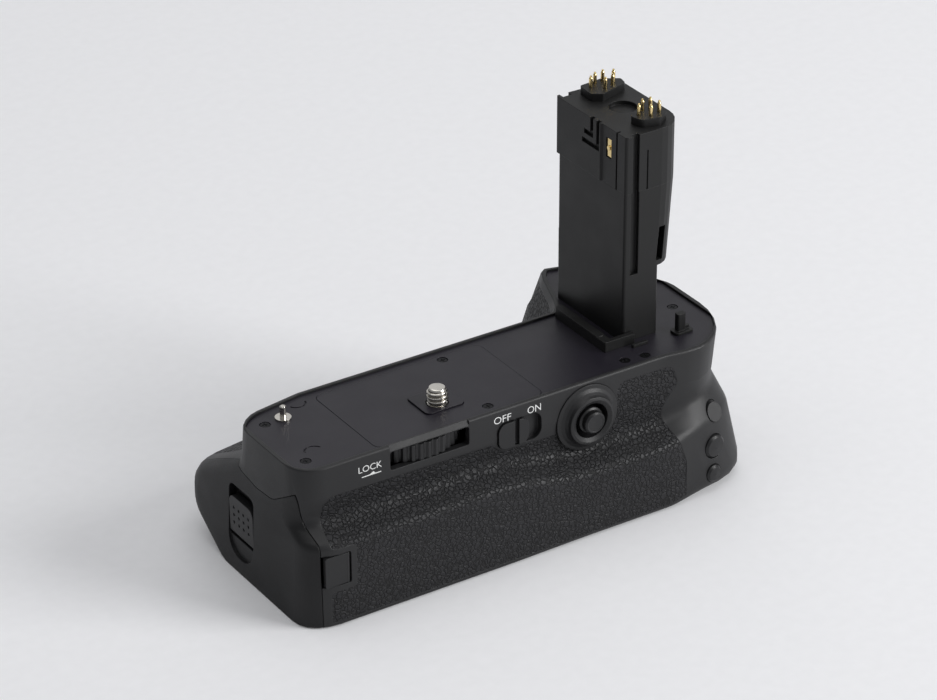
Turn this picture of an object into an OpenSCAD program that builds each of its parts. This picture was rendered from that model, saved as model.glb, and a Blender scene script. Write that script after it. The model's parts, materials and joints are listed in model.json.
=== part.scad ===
// Vertical battery grip for an interchangeable-lens camera, in millimetres.
// +X runs to the stem end, -Y is the user's side, +Z is up. The origin is the mouth of the
// tripod socket on the underside, straight below the attachment screw.

/* [Body] */
// Height of the rim round the top plate
rim_z = 47; // [46.5:0.1:48]
// Where the left end stands at the height of the rim
left_x = -53; // [-55:0.5:-53]
// Where the right end stands at the height of the rim
right_x = 95.4; // [95:0.1:97]
// Distance of the rear top edge behind the screw
rear_y = 13.8; // [13.6:0.1:14.2]
// Distance of the front top edge ahead of the screw
front_y = 26.1; // [25.8:0.1:27]
// Distance of the lower rear wall behind the screw
ledge_y = 20.6; // [20:0.1:22]
// Height of the rear ledge at the left, under the thumb valley
ledge_z = 25.5; // [25:0.1:26.5]
// Distance of the front finger bulge ahead of the screw
bulge_y = 54; // [53:0.1:55]
// Distance of the hand-grip block's front ahead of the screw
block_y = 50.2; // [49:0.1:51.5]
// How much further out the left end stands at the underside than at the rim
end_slant = 2; // [1:0.1:2.5]
// How much further out the right end stands low down than at the rim
right_flare = 4.5; // [3.5:0.1:5]
// Wall of the moulded housing
wall = 2.2; // [1.8:0.1:2.3]
// Thickness of the rubber grip skins
skin_t = 1.3; // [0.8:0.1:1.4]
// Thickness of the base plate
base_t = 2.2; // [1.8:0.1:2.6]

/* [Top plate] */
// Width of the rim round the top plate
rim_w = 1.3; // [1:0.1:1.5]
// Depth of the top plate below the rim
plate_sink = 0.7; // [0.4:0.1:0.9]
// Thickness of the top plate
plate_t = 1.3; // [1.2:0.1:1.4]
// Radius of the locating pin
locator_r = 0.9; // [0.8:0.05:1.1]
// Height of the locating pin above the top plate
locator_h = 4; // [3:0.1:5]

/* [Attachment drive] */
// Radius of the attachment screw and of the tripod thread
screw_r = 3.175; // [3.1:0.005:3.2]
// Length of the screw above its pad
screw_out = 5; // [4.5:0.1:6]
// Offset of the wheel's axis from the screw along X
wheel_x = -11.2; // [-11.4:0.1:-11]
// Module of the wheel's ring gear and the screw's pinion
gear_module = 0.7; // [0.69:0.005:0.705]
// Height of the thumbwheel
wheel_h = 5; // [4.6:0.1:5]
// Depth of the tripod thread
tripod_depth = 4.6; // [4.3:0.1:4.8]

/* [Magazine] */
// Length of one battery pack
pack_l = 56.8; // [55:0.1:57]
// Width of one battery pack
pack_w = 38.4; // [37:0.1:38.5]
// Thickness of one battery pack
pack_t = 21; // [20:0.1:21.2]
// How far the magazine slides out
magazine_travel = 120; // [100:1:130]

/* [Stem] */
// Width of the stem's head along X
stem_w = 20.6; // [19.6:0.1:21.6]
// Depth of the stem along Y
stem_d = 33.6; // [33:0.1:35]
// Width of the stem's neck along X
neck_w = 12; // [11.6:0.1:12.8]
// Height of the stem above the rim
stem_h = 64.5; // [63:0.1:66]
// Height of the stem's cap
cap_h = 17.8; // [16:0.1:19]

/* [Controls] */
// Radius of the large thumb button
button_big_r = 3.6; // [3.3:0.1:3.7]
// Radius of the two small thumb buttons
button_small_r = 2.7; // [2.4:0.1:2.9]
// Radius of the shutter button
shutter_r = 5.5; // [5:0.1:5.8]
// Radius of the main dial
dial_r = 8; // [7.5:0.1:8.2]
// Travel of the power switch
switch_travel = 4.4; // [3.5:0.1:4.6]
// Radius of the joystick's cap
stick_r = 3.35; // [3:0.05:3.5]

/* [Hidden] */

$fn = 48;
arc_steps = 4;
fine_steps = 6;
slide_gap = 0.2;
joint_gap = 0.15;
run_gap = 0.05;
plate_z = rim_z - plate_sink;
plate_under = plate_z - plate_t;

// Plain helpers
function mix(a, b, t) = a + (b - a) * t;
function unit_step(a, b, x) = min(1, max(0, (x - a) / (b - a)));
function ease(a, b, x) = let (t = unit_step(a, b, x)) t * t * (3 - 2 * t);
function reversed(v) = [for (i = [len(v) - 1:-1:0]) v[i]];

// A closed outline whose corners [x, y, radius] are rounded by arcs of n steps
function rounded(c, n = fine_steps) = [
    for (i = [0:len(c) - 1])
        let (
            p = [c[i][0], c[i][1]],
            a = c[(i + len(c) - 1) % len(c)],
            b = c[(i + 1) % len(c)],
            u = [a[0], a[1]] - p,
            v = [b[0], b[1]] - p,
            ul = norm(u),
            vl = norm(v),
            half = acos(max(-1, min(1, u * v / (ul * vl)))) / 2,
            reach = min(c[i][2] / tan(half), 0.49 * ul, 0.49 * vl),
            mid = u / ul + v / vl,
            centre = p + mid / norm(mid) * reach / cos(half),
            start = p + u / ul * reach - centre,
            finish = p + v / vl * reach - centre,
            side = start[0] * finish[1] - start[1] * finish[0] < 0 ? -1 : 1
        )
        for (k = [0:n])
            let (w = side * (180 - 2 * half) * k / n)
            centre + [
                start[0] * cos(w) - start[1] * sin(w),
                start[0] * sin(w) + start[1] * cos(w)
            ]
];
function box_outline(x0, x1, y0, y1, r) = rounded([[x0, y0, r], [x1, y0, r], [x1, y1, r], [x0, y1, r]]);

// Prisms along the three axes from an outline in the plane across that axis
module plan_prism(outline, z0, z1) {
    translate([0, 0, z0])
        linear_extrude(z1 - z0)
            polygon(outline);
}
module rear_prism(outline, y0, y1) {
    translate([0, y1, 0])
        rotate([90, 0, 0])
            linear_extrude(y1 - y0)
                polygon(outline);
}
module end_prism(outline, x0, x1) {
    translate([x0, 0, 0])
        rotate([90, 0, 90])
            linear_extrude(x1 - x0)
                polygon(outline);
}
module box(x0, x1, y0, y1, z0, z1) {
    translate([x0, y0, z0])
        cube([x1 - x0, y1 - y0, z1 - z0]);
}
module post(x, y, z0, z1, r) {
    translate([x, y, z0])
        cylinder(h = z1 - z0, r = r);
}
// Round bar along Y, from y0 up to y1
module y_bar(x, z, y0, y1, r) {
    translate([x, y1, z])
        rotate([90, 0, 0])
            cylinder(h = y1 - y0, r = r);
}
// Round bar along X, from x0 up to x1
module x_bar(y, z, x0, x1, r) {
    translate([x0, y, z])
        rotate([0, 90, 0])
            cylinder(h = x1 - x0, r = r);
}

// A longer pack makes the body longer by two: all that stands right of the magazine moves along
standard_pack = 56.8;
growth = 2 * (pack_l - standard_pack);
far_x = right_x + growth;

// Moulded form: places along X where the section changes
left_round = 8.5;
far_corner_cut = 3.5;
taper_x = -30;
drop_x0 = 8;
drop_x1 = 40;
block_x0 = 52.6 + growth;
block_x1 = 65 + growth;
crest_x0 = 56.5 + growth;
crest_x1 = 69.4 + growth;
flank_shift = 0.6;
pod_x0 = 66 + growth;
pod_x1 = 82 + growth;
pod_out = 1.8;
right_round_x = 76 + growth;
right_round_y = 6;
diag_x = 75 + growth;
diag_slope = 1.26;
diag_blend = 3;
end_round_x = 3.5;
end_round_y = 4;

function left_inset(x) = let (t = max(0, x - left_x))
    t >= left_round ? 0 : left_round - sqrt(pow(left_round, 2) - pow(left_round - t, 2));
function right_inset(x, power) = let (
        b = right_round_y + rear_y + pod_out,
        t = unit_step(right_round_x, far_x, x)
    ) b - b * pow(1 - pow(t, power), 1 / power);
function diag_inset(x) = let (d = x - diag_x, t = unit_step(far_x - end_round_x, far_x, x))
    diag_slope * (d + sqrt(d * d + diag_blend * diag_blend)) / 2 + end_round_y * (1 - sqrt(1 - t * t));

// Corners [y, z, radius] of the section at x, drawn in by inset, with the top raised by lift
function corners(x, inset = 0, lift = 0) = let (
        drop = ease(drop_x0, drop_x1, x),
        grip = ease(block_x0, block_x1, x - flank_shift * inset),
        crest = ease(crest_x0, crest_x1, x - flank_shift * inset),
        pod = ease(pod_x0, pod_x1, x),
        near_end = ease(right_round_x, far_x, x),
        fade = 1 - near_end,
        rear = left_inset(x) + right_inset(x, 2) + inset,
        shelf = left_inset(x) + right_inset(x, 2.2) + inset,
        foot = left_inset(x) + right_inset(x, 2.8) + inset,
        front = left_inset(x) + far_corner_cut * ease(taper_x, left_x, x) + diag_inset(x) + inset
    ) [
    [-rear_y - pod_out * pod + rear, rim_z + lift, 0.8],
    [-rear_y - 0.2 - (pod_out - 0.5) * pod * fade + rear, mix(37.5, 36, pod), 4],
    [-rear_y + 1.2 - 1.2 * pod * fade + rear, mix(mix(29.5, 24.8, drop), 30, pod), 4],
    [
        -ledge_y + 0.3 + 2.4 * pod + shelf,
        mix(mix(ledge_z, ledge_z - 4.7, drop), ledge_z - 3, pod),
        mix(3, 6, pod)
    ],
    [-ledge_y + 0.5 * pod + foot, inset, mix(mix(0.9, 1.6, drop), 4.5, pod)],
    [mix(38, 42, grip) - 8 * near_end - front, inset, 4],
    [mix(bulge_y - 0.4, block_y + 2.4, grip) - front, 9.5, 7],
    [mix(bulge_y, block_y + 2.8, grip) - front, mix(19.4, 23, grip), 8],
    [mix(front_y + 0.7, block_y + 0.6, grip) - front, mix(34.9, 37, grip), 4],
    [mix(front_y, block_y, crest) - front, rim_z + lift, 0.8]
];

// Both ends stand further out low down: the left one leans, the right one flares
function lean(x, z) = right_flare * ease(36, 8, z) * ease(right_round_x, far_x, x)
    - end_slant * (1 - z / rim_z) * ease(left_x + 10, left_x, x);
function section(x, inset, lift, n) = [
    for (p = rounded(corners(x, inset, lift), n)) [x + lean(x, p[1]), p[0], p[1]]
];
// Part of a section from one corner to a later one, and back along a deeper inset
function strip(x, first, last, inset, n) = let (s = section(x, inset, 0, n))
    [for (k = [first * (n + 1) + n:last * (n + 1)]) s[k]];

function side_faces(rings, m) = [
    for (i = [0:rings - 2], j = [0:m - 1])
        let (a = i * m + j, b = i * m + (j + 1) % m)
        each [[a, b + m, b], [a, a + m, b + m]]
];

// Solid over rings of points, each ring a strip that runs out and comes back
module skin_over(rings) {
    m = len(rings[0]);
    last = (len(rings) - 1) * m;
    polyhedron(
        points = [for (r = rings) each r],
        faces = concat(
            [for (j = [0:m / 2 - 2]) each [[j, j + 1, m - 1 - j], [j + 1, m - 2 - j, m - 1 - j]]],
            side_faces(len(rings), m),
            [for (j = [0:m / 2 - 2]) each [
                [last + j + 1, last + j, last + m - 1 - j],
                [last + m - 2 - j, last + j + 1, last + m - 1 - j]
            ]]
        )
    );
}

// Solid through whole sections at the stations
module loft(stations, inset = 0, lift = 0, n = arc_steps) {
    skin_over([for (x = stations) section(x, inset, lift, n)]);
}

// Shell between two insets, over the stretch of the section between two corners
module shell_strip(stations, first, last, outer, inner, n = arc_steps) {
    skin_over([
        for (x = stations) concat(strip(x, first, last, outer, n), reversed(strip(x, first, last, inner, n)))
    ]);
}

left_stations = [for (k = [0:5]) left_x + left_round * (1 - cos(k * 18))];
drop_stations = [for (k = [0:5]) mix(drop_x0, drop_x1, k / 5)];
block_stations = [for (k = [0:8]) mix(block_x0, crest_x1, k / 8)];
right_stations = [for (k = [1:8]) mix(crest_x1 + 1, far_x, sin(k * 90 / 8))];
all_stations = concat(left_stations, [taper_x], drop_stations, block_stations, right_stations);
cavity_stations = concat(
    [left_x + wall, left_x + left_round, drop_x0, drop_x1],
    [for (x = block_stations) x + flank_shift * wall],
    [for (k = [1:5]) mix(crest_x1 + 2, far_x - wall, sin(k * 18))]
);
skin_x0 = -47.3;
skin_x1 = 72.4 + growth;
skin_stations = concat(
    [skin_x0 - 1, left_x + left_round, taper_x],
    drop_stations,
    block_stations,
    [for (k = [1:2]) mix(crest_x1, skin_x1 + 2, k / 2)]
);

// Outline of the top opening, a given distance in from the rim's outer edge
top_xs = concat(
    [for (k = [0:5]) left_round * (1 - cos(k * 18)) + left_x],
    [taper_x],
    block_stations,
    right_stations
);
function top_x(x, inset) = min(far_x - inset, max(left_x + inset, x));
function top_outline(inset) = concat(
    [for (x = top_xs) let (w = top_x(x, inset)) [w, corners(w, inset)[0][0]]],
    reversed([for (x = top_xs) let (w = top_x(x, inset)) [w, corners(w, inset)[9][0]]])
);

// Seam of the magazine's end cap, seen from the end and from the rear
seam_x = -49.7;
cap_seam_yz = rounded([
    [-40, 39.2, 1], [-10, 39.2, 5], [0, 33, 8], [9, 32.4, 8], [24, 34.8, 8], [60, 34.8, 1], [60, -6, 1],
    [-40, -6, 1]
]);
cap_seam_xz = rounded([[-70, -6, 1], [seam_x, -6, 1], [seam_x, 26, 6], [-52, 39.4, 1], [-70, 42, 1]]);
module cap_zone(back = 0) {
    intersection() {
        translate([0, 0, -back])
            end_prism(cap_seam_yz, -68, -40);
        translate([-back, 0, 0])
            rear_prism(cap_seam_xz, -38, 58);
    }
}

// Magazine, its tunnel and their clearances
tunnel_wall = 1;
tunnel_y0 = -10.3;
pocket_wall = 1;
pocket_gap = 0.2;
magazine_w = pack_w + 2 * (pocket_gap + pocket_wall);
magazine_y0 = tunnel_y0 + tunnel_wall + slide_gap;
magazine_y1 = magazine_y0 + magazine_w;
tunnel_y1 = magazine_y1 + slide_gap + tunnel_wall;
tunnel_floor = 5.2;
magazine_z0 = tunnel_floor + slide_gap;
magazine_floor = 1;
magazine_z1 = magazine_z0 + magazine_floor + pack_t + 0.5;
tunnel_roof = 0.8;
tunnel_z1 = magazine_z1 + slide_gap + tunnel_roof;
tunnel_x0 = seam_x + 0.9;
pocket_l = pack_l + 0.4;
mid_wall = 1.2;
magazine_x0 = seam_x - 0.2;
left_wall = 3;
right_wall = 2;
magazine_x1 = magazine_x0 + left_wall + 2 * pocket_l + mid_wall + right_wall;
contact_gap = 1.2;
tunnel_back = 2;
tunnel_x1 = magazine_x1 + contact_gap + tunnel_back;
edge_cut = 2.6;
bolt_x0 = magazine_x0 + 1.1;
bolt_x1 = bolt_x0 + 1.3;
bolt_y = 17.2;
bolt_w = 6;
bolt_l = 12;
bolt_out = 1.1;
bolt_travel = 1.6;
mouth_x = -46;

// Attachment drive
pressure = 25;
pinion_teeth = 12;
ring_teeth = 46;
tooth_play = 0.2;
gear_span = gear_module * (ring_teeth - pinion_teeth) / 2;
wheel_y = sqrt(pow(gear_span, 2) - pow(wheel_x, 2));
wheel_proud = 0.5;
wheel_r = wheel_y + rear_y + wheel_proud;
wheel_top = plate_under - 0.3;
wheel_z0 = wheel_top - wheel_h;
flange_h = 1.6;
boss_r = 14.5;
boss_top = wheel_z0 + flange_h;
mesh_angle = atan2(-wheel_y, -wheel_x);
journal_r = 1.5;
shank_r = 2.2;
neck_r = screw_r - 0.3;
pinion_z0 = boss_top + 0.3;
pinion_z1 = wheel_top;
slot_x0 = wheel_x - 12.9;
slot_x1 = wheel_x + 12.9;

function involute(a) = tan(a) - a * PI / 180;
// Half angle of a tooth at radius r, for a given half angle at the pitch circle
function flank(r, pitch_r, half) = let (base_r = pitch_r * cos(pressure), q = max(r, base_r))
    half + (involute(pressure) - involute(acos(base_r / q))) * 180 / PI;
function gear_outline(teeth, inner_r, outer_r, play) = let (
        pitch_r = gear_module * teeth / 2,
        half = 90 / teeth + play / 2 / pitch_r * 180 / PI,
        radii = [for (k = [0:3]) mix(inner_r, outer_r, k / 3)]
    ) [
    for (t = [0:teeth - 1])
        each concat(
            [for (r = radii) let (w = t * 360 / teeth - flank(r, pitch_r, half)) r * [cos(w), sin(w)]],
            [for (r = reversed(radii)) let (w = t * 360 / teeth + flank(r, pitch_r, half)) r * [cos(w), sin(w)]]
        )
];
function knurl_outline(ridges, r, depth) = [
    for (t = [0:ridges - 1], s = [[0, depth], [0.3, 0], [0.7, 0], [1, depth]])
        let (w = (t + s[0] * 0.8) * 360 / ridges)
        (r - s[1]) * [cos(w), sin(w)]
];

// Controls
switch_x0 = 11;
switch_z0 = 34;
switch_z1 = 42.7;
knob_l = 10;
switch_floor = rear_y - 1.7;
stick_x = 41.3;
stick_z = 35.6;
bezel_r = 10.3;
bezel_seat = rear_y - 1.2;
stick_well_r = 5.4;
pivot_y = -10.4;
pod_turn = 8;
thumb_x = far_x - 12;
thumb_y = -15;
function thumb_at(along, z) = [thumb_x + along * cos(pod_turn), thumb_y + along * sin(pod_turn), z];
upper_at = thumb_at(1.6, 24.2);
middle_at = thumb_at(-0.1, 14.2);
lower_at = thumb_at(-1, 5.9);
// how far each cap stands out of its place, and how deep its collar sits
upper_out = 3;
middle_out = 3.8;
lower_out = 4.7;
upper_collar = 3;
middle_collar = -0.5;
lower_collar = -0.9;
upper_tilt = 25;
collar_w = 0.5;
button_in = 5;
press = 0.8;
switch_gap = press + 0.1;
diag_turn = 180 - atan(1 / diag_slope);
shutter_at = [far_x - 9, block_y - 12.1, 28];
function_at = [far_x - 5.2, block_y - 18.1, 40];
preview_x = 32;
preview_z = 15;
preview_r = 3.2;
preview_wall = bulge_y - wall;
preview_at = [preview_x, preview_wall, preview_z];
preview_collar = 0.5;
preview_in = 3;
shutter_in = 5;
function_in = shutter_in - (shutter_at - function_at) * [sin(diag_turn), -cos(diag_turn), 0];
function_collar = 2.3;
shutter_collar = 2.6;
dial_x = far_x - 6.2;
dial_y = 12;
dial_z = 33;
dial_w = 6;
axle_r = 1;

// Local frame of a control: its outer face looks along -Y before the turn
module facing(at, turn) {
    translate(at)
        rotate([0, 0, turn])
            children();
}
// Hole for a push button, with the room for its collar behind the wall
module button_seat(at, turn, r, collar) {
    facing(at, turn)
        union() {
            y_bar(0, 0, -9, 6, r + joint_gap);
            y_bar(0, 0, collar - 0.05, 6, r + collar_w + 0.2);
        }
}

// Cord cover at the rear left
cover_x0 = -49.2;
cover_x1 = -41;
cover_z0 = 12.9;
cover_z1 = 22.8;
cover_t = 1.4;
hinge_r = 0.6;
knuckle_r = 1;
hinge_in = 1;
hinge_x = cover_x1 - knuckle_r - joint_gap;
cover_y0 = -ledge_y + 0.25;
hinge_y = cover_y0 + knuckle_r - 0.05;
frame_edge = 1.8;

// Rubber outlines, seen from the rear and from the front
rear_skin_outline = rounded([
    [skin_x0, 1.4, 0.4], [skin_x0, cover_z0 - frame_edge, 1.2], [cover_x1 + frame_edge, cover_z0 - frame_edge, 1.5],
    [cover_x1 + frame_edge, cover_z1 + frame_edge, 1.5], [skin_x0 + 0.4, cover_z1 + frame_edge, 1],
    [skin_x0 + 2, 37.4, 4], [9.3, 36.4, 2], [12.8, 32.9, 2.5], [51.4, 32.9, 1], [51.8, 43.2, 3],
    [skin_x1 - 1.6, 43.2, 3], [skin_x1, 37.5, 3], [skin_x1 - 5.1, 28.5, 6], [skin_x1, 14, 6], [skin_x1, 1.4, 0.4]
]);
front_skin_outline = rounded([
    [skin_x0 + 1, 2.5, 2], [skin_x1, 2.5, 2], [skin_x1, 44.5, 3], [crest_x0 + 2, 44.5, 2], [block_x0 + 1, 32.5, 4],
    [skin_x0 + 1, 32.5, 4]
]);

module rear_skin_form(outer) {
    difference() {
        intersection() {
            shell_strip(skin_stations, 0, 4, outer, skin_t);
            rear_prism(rear_skin_outline, -40, 0);
        }
        y_bar(stick_x, stick_z, -40, 0, bezel_r + 0.15);
    }
}
module front_skin_form(outer) {
    intersection() {
        shell_strip(skin_stations, 5, 9, outer, skin_t);
        rear_prism(front_skin_outline, 8, 70);
    }
}

base_x0 = -44;
base_x1 = tunnel_x1 + 0.1;
base_y0 = -14.5;
base_y1 = 30;

// Housing: one moulding, shelled, with its openings
module main_housing() {
    color("dimgray")
        difference() {
            loft(all_stations);
            loft(cavity_stations, wall, 2, 1);
            cap_zone();
            plan_prism(top_outline(rim_w), plate_under, rim_z + 3);
            plan_prism(box_outline(base_x0, base_x1, base_y0, base_y1, 4), -1, wall + 1);
            // room for the magazine's mouth and for the tunnel behind it
            translate([left_x - 6, 0, 0])
                rotate([90, 0, 90])
                    linear_extrude(mouth_x - left_x + 6)
                        tunnel_profile(0);
            translate([mouth_x - 0.2, 0, 0])
                rotate([90, 0, 90])
                    linear_extrude(20)
                        tunnel_profile(tunnel_wall + 0.1);
            box(tunnel_x0 - 0.2, mouth_x, tunnel_y0 - 0.1, tunnel_y1 - 2 * edge_cut + 0.1, base_t + 1, tunnel_z1 + 0.1);
            box(tunnel_x0 - 0.2, mouth_x, tunnel_y0 - 0.1, tunnel_y1 + 0.1, base_t + 1, tunnel_z1 - 2 * edge_cut + 0.1);
            rear_skin_form(-2);
            front_skin_form(-2);
            // thumbwheel slot, with the bevelled lip over it
            rear_prism(box_outline(slot_x0, slot_x1, wheel_z0 - 0.3, plate_under + 0.15, 0.8), -20, -8);
            end_prism([[-18, rim_z - 1.6], [-rear_y, rim_z - 1.6], [-rear_y + 1, rim_z + 0.3], [-18, rim_z + 0.3]],
                slot_x0, slot_x1);
            // power switch
            rear_prism(box_outline(switch_x0, switch_x0 + knob_l + switch_travel + 0.4, switch_z0, switch_z1, 3),
                -20, -switch_floor);
            rear_prism(box_outline(switch_x0 + 3, switch_x0 + 5.4 + switch_travel, 37.2, 39.5, 0.8), -20, -8);
            // joystick
            y_bar(stick_x, stick_z, -20, -bezel_seat, bezel_r + 0.05);
            y_bar(stick_x, stick_z, -20, -8, stick_well_r + 0.6);
            // thumb buttons
            button_seat(upper_at, pod_turn, button_small_r, upper_collar);
            button_seat(middle_at, pod_turn, button_big_r, middle_collar);
            button_seat(lower_at, pod_turn, button_small_r, lower_collar);
            // shutter and function buttons, dial and preview button
            button_seat(shutter_at, diag_turn, shutter_r, shutter_collar);
            button_seat(function_at, diag_turn, button_small_r, function_collar);
            rear_prism(box_outline(dial_x, far_x + 9, dial_z - dial_r - 0.4, dial_z + dial_r + 0.4, 0.5),
                dial_y - dial_w / 2 - 0.3, dial_y + dial_w / 2 + 0.3);
            button_seat(preview_at, 180, preview_r, preview_collar);
            // window under the cord cover, and the holes of its hinge pin
            rear_prism(box_outline(-56, cover_x1, cover_z0, cover_z1, 0.6), -30, -13);
            post(hinge_x, hinge_y, cover_z0 - hinge_in, cover_z1 + hinge_in, hinge_r);
        }
}

module rear_grip_skin() {
    color("#303030")
        rear_skin_form(0);
}

module front_grip_skin() {
    color("#303030")
        difference() {
            front_skin_form(0);
            y_bar(preview_x, preview_z, bulge_y - 8, bulge_y + 8, preview_r + 1.4);
        }
}

module base_plate() {
    color("dimgray")
        difference() {
            plan_prism(box_outline(base_x0 + joint_gap, base_x1 - joint_gap, base_y0 + joint_gap,
                base_y1 - joint_gap, 4), 0, base_t);
            post(0, 0, -1, base_t + 1, bush_r + 0.02);
            for (p = base_screw_at)
                post(p[0], p[1], -1, 0.8, 2.2);
            for (p = base_screw_at)
                post(p[0], p[1], -1, base_t + 1, 1.1);
        }
}

bush_r = 7;
bush_flange_r = 9.5;
base_screw_at = [for (x = [base_x0 + 5, mix(base_x0, base_x1, 0.627), base_x1 - 5], y = [base_y0 + 4.5, base_y1 - 4.5]) [x, y]];

module base_screws() {
    color("#222222")
        for (p = base_screw_at) {
            post(p[0], p[1], 0.15, 0.8, 1.9);
            post(p[0], p[1], 0.7, 3.9, 1);
        }
}

// Brass bush that takes a tripod screw
module tripod_bush() {
    color("silver")
        difference() {
            union() {
                post(0, 0, 0, tripod_depth + 0.45, bush_r);
                post(0, 0, base_t, base_t + 1.2, bush_flange_r);
            }
            post(0, 0, -1, tripod_depth, screw_r);
        }
}

module tunnel_profile(grow) {
    polygon([
        [tunnel_y0 + tunnel_wall - grow, tunnel_floor - grow * 1.2],
        [tunnel_y1 - tunnel_wall + grow, tunnel_floor - grow * 1.2],
        [tunnel_y1 - tunnel_wall + grow, tunnel_z1 - tunnel_roof - edge_cut],
        [tunnel_y1 - tunnel_wall + grow - edge_cut - grow * 0.4, tunnel_z1 - tunnel_roof + grow * tunnel_roof],
        [tunnel_y0 + tunnel_wall - grow, tunnel_z1 - tunnel_roof + grow * tunnel_roof]
    ]);
}

// Chassis: the tunnel that the magazine slides in, on feet that stand on the base plate
module magazine_tunnel() {
    color("#3a3a3a")
        difference() {
            union() {
                translate([tunnel_x0, 0, 0])
                    rotate([90, 0, 90])
                        linear_extrude(tunnel_x1 - tunnel_x0)
                            tunnel_profile(tunnel_wall);
                for (y = [tunnel_y0 + 1, tunnel_y1 - 6])
                    box(base_x0 + 12, base_x1 - 14, y, y + 2.2, base_t, tunnel_floor - 0.5);
            }
            translate([tunnel_x0 - 1, 0, 0])
                rotate([90, 0, 90])
                    linear_extrude(tunnel_x1 - tunnel_x0 + 1 - tunnel_back)
                        tunnel_profile(0);
            post(0, 0, 0, tunnel_floor + 0.5, bush_r + 0.1);
            post(0, 0, 0, base_t + 1.25, bush_flange_r + 0.1);
            for (p = base_screw_at)
                post(p[0], p[1], 0, 4.2, 1.4);
            // at the mouth the front upper corner makes way for the housing's wall
            box(tunnel_x0 - 1, mouth_x, tunnel_y1 - 2 * edge_cut, tunnel_y1 + 1, tunnel_z1 - 2 * edge_cut, tunnel_z1 + 1);
            // open strike for the latch bolt
            box(tunnel_x0 - 1, bolt_x1 + 0.3, bolt_y - bolt_w / 2 - 0.3, bolt_y + bolt_w / 2 + 0.3,
                tunnel_z1 - tunnel_roof - 1, tunnel_z1 + 1);
        }
}

// Round track that the thumbwheel turns on, with the screw's lower bearing
module wheel_boss() {
    color("#3a3a3a")
        difference() {
            union() {
                post(wheel_x, wheel_y, wheel_z0 - 1.2, boss_top, boss_r - run_gap);
                post(wheel_x, wheel_y, tunnel_z1, wheel_z0, boss_r - 4);
                post(wheel_x, wheel_y, wheel_z0 - 1.4, wheel_z0 - 0.2, boss_r + 0.9);
            }
            post(0, 0, boss_top - 3.2, boss_top + 1, journal_r + run_gap);
        }
}

// Toothed ring that the thumb turns: knurled outside, gear teeth inside
module thumbwheel() {
    ring_pitch = gear_module * ring_teeth / 2;
    color("#2c2c2c")
        translate([wheel_x, wheel_y, wheel_z0])
            difference() {
                linear_extrude(wheel_h)
                    polygon(knurl_outline(46, wheel_r, 0.55));
                translate([0, 0, flange_h])
                    rotate([0, 0, mesh_angle])
                        linear_extrude(wheel_h)
                            polygon(gear_outline(ring_teeth, ring_pitch - 0.7 * gear_module,
                                ring_pitch + 1.1 * gear_module, tooth_play / 2));
                post(0, 0, -1, flange_h + 1, boss_r);
            }
}

module screw_pinion() {
    pitch_r = gear_module * pinion_teeth / 2;
    color("goldenrod")
        difference() {
            translate([0, 0, pinion_z0])
                rotate([0, 0, mesh_angle])
                    linear_extrude(pinion_z1 - pinion_z0)
                        polygon(gear_outline(pinion_teeth, pitch_r - 1.1 * gear_module,
                            pitch_r + 0.8 * gear_module, -tooth_play / 2));
            post(0, 0, pinion_z0 - 1, pinion_z1 + 1, shank_r);
        }
}

// Captive screw: journal, pinion seat, shoulder and the threaded end with its lead-in
pad_z = plate_z + 0.5;
module attachment_screw() {
    color("silver")
        rotate_extrude()
            polygon([
                [0, boss_top - 3], [journal_r, boss_top - 3], [journal_r, boss_top + 0.1],
                [shank_r, boss_top + 0.1], [shank_r, pinion_z1], [neck_r, pinion_z1 + 0.05],
                [neck_r, pad_z + 0.1], [screw_r, pad_z + 0.4], [screw_r, pad_z + screw_out - 0.6], [screw_r - 0.6, pad_z + screw_out], [0, pad_z + screw_out]
            ]);
}

stem_x = 63.2 + growth;
pad_x0 = -6;
pad_x1 = 6.8;
pad_y0 = -4.4;
pad_y1 = 7;
panel_x0 = -27;
panel_x1 = 28.3;
panel_y0 = -11.9;
panel_y1 = 22.4;
panel_t = 0.5;
locator_x = -40;
locator_y = 16.7;
locator_flange_r = 2.35;
deck_screw_at = [
    [-46, 16.4], [-46.6, -6.6], [14.7, 20.2], [11.1, -8.9], [stem_x - 5.2, -8.5], [stem_x + 1.3, -9.2], [far_x - 7.4, 10]
];

// Plate that the camera sits on
module top_plate() {
    color("#44434a")
        difference() {
            plan_prism(top_outline(rim_w + 0.08), plate_under, plate_z);
            plan_prism(box_outline(panel_x0, panel_x1, panel_y0, panel_y1, 2.5), plate_z - panel_t, plate_z + 1);
            plan_prism(box_outline(pad_x0 + 2, pad_x1 - 2, pad_y0 + 0.9, pad_y1 - 2, 1), plate_under - 1, plate_z + 1);
            for (p = deck_screw_at)
                post(p[0], p[1], plate_z - 0.6, plate_z + 1, 1.6);
            for (p = deck_screw_at)
                post(p[0], p[1], plate_under - 1, plate_z + 1, 0.9);
            post(locator_x, locator_y, plate_under - 1, plate_z + 1, locator_r + 0.4);
            plan_prism(stem_root_outline, plate_under - 1, plate_z + 1);
            // finger marks beside the locating pin
            for (p = [[-32.7, 22, 200], [-42, -3.4, 20]])
                translate([p[0], p[1], plate_z - 0.3])
                    rotate([0, 0, p[2]])
                        rotate_extrude(angle = 150)
                            translate([2.4, 0])
                                square([0.5, 1]);
        }
}

// Bare rectangular panel let into the top plate
module mount_panel() {
    color("#48474e")
        difference() {
            plan_prism(box_outline(panel_x0 + 0.1, panel_x1 - 0.1, panel_y0 + 0.1, panel_y1 - 0.1, 2.5),
                plate_z - panel_t, plate_z + 0.05);
            plan_prism(box_outline(pad_x0, pad_x1, pad_y0, pad_y1, 1.5), plate_under - 1, plate_z + 1);
            for (p = deck_screw_at)
                post(p[0], p[1], plate_under - 1, plate_z + 1, 1.6);
        }
}

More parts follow.
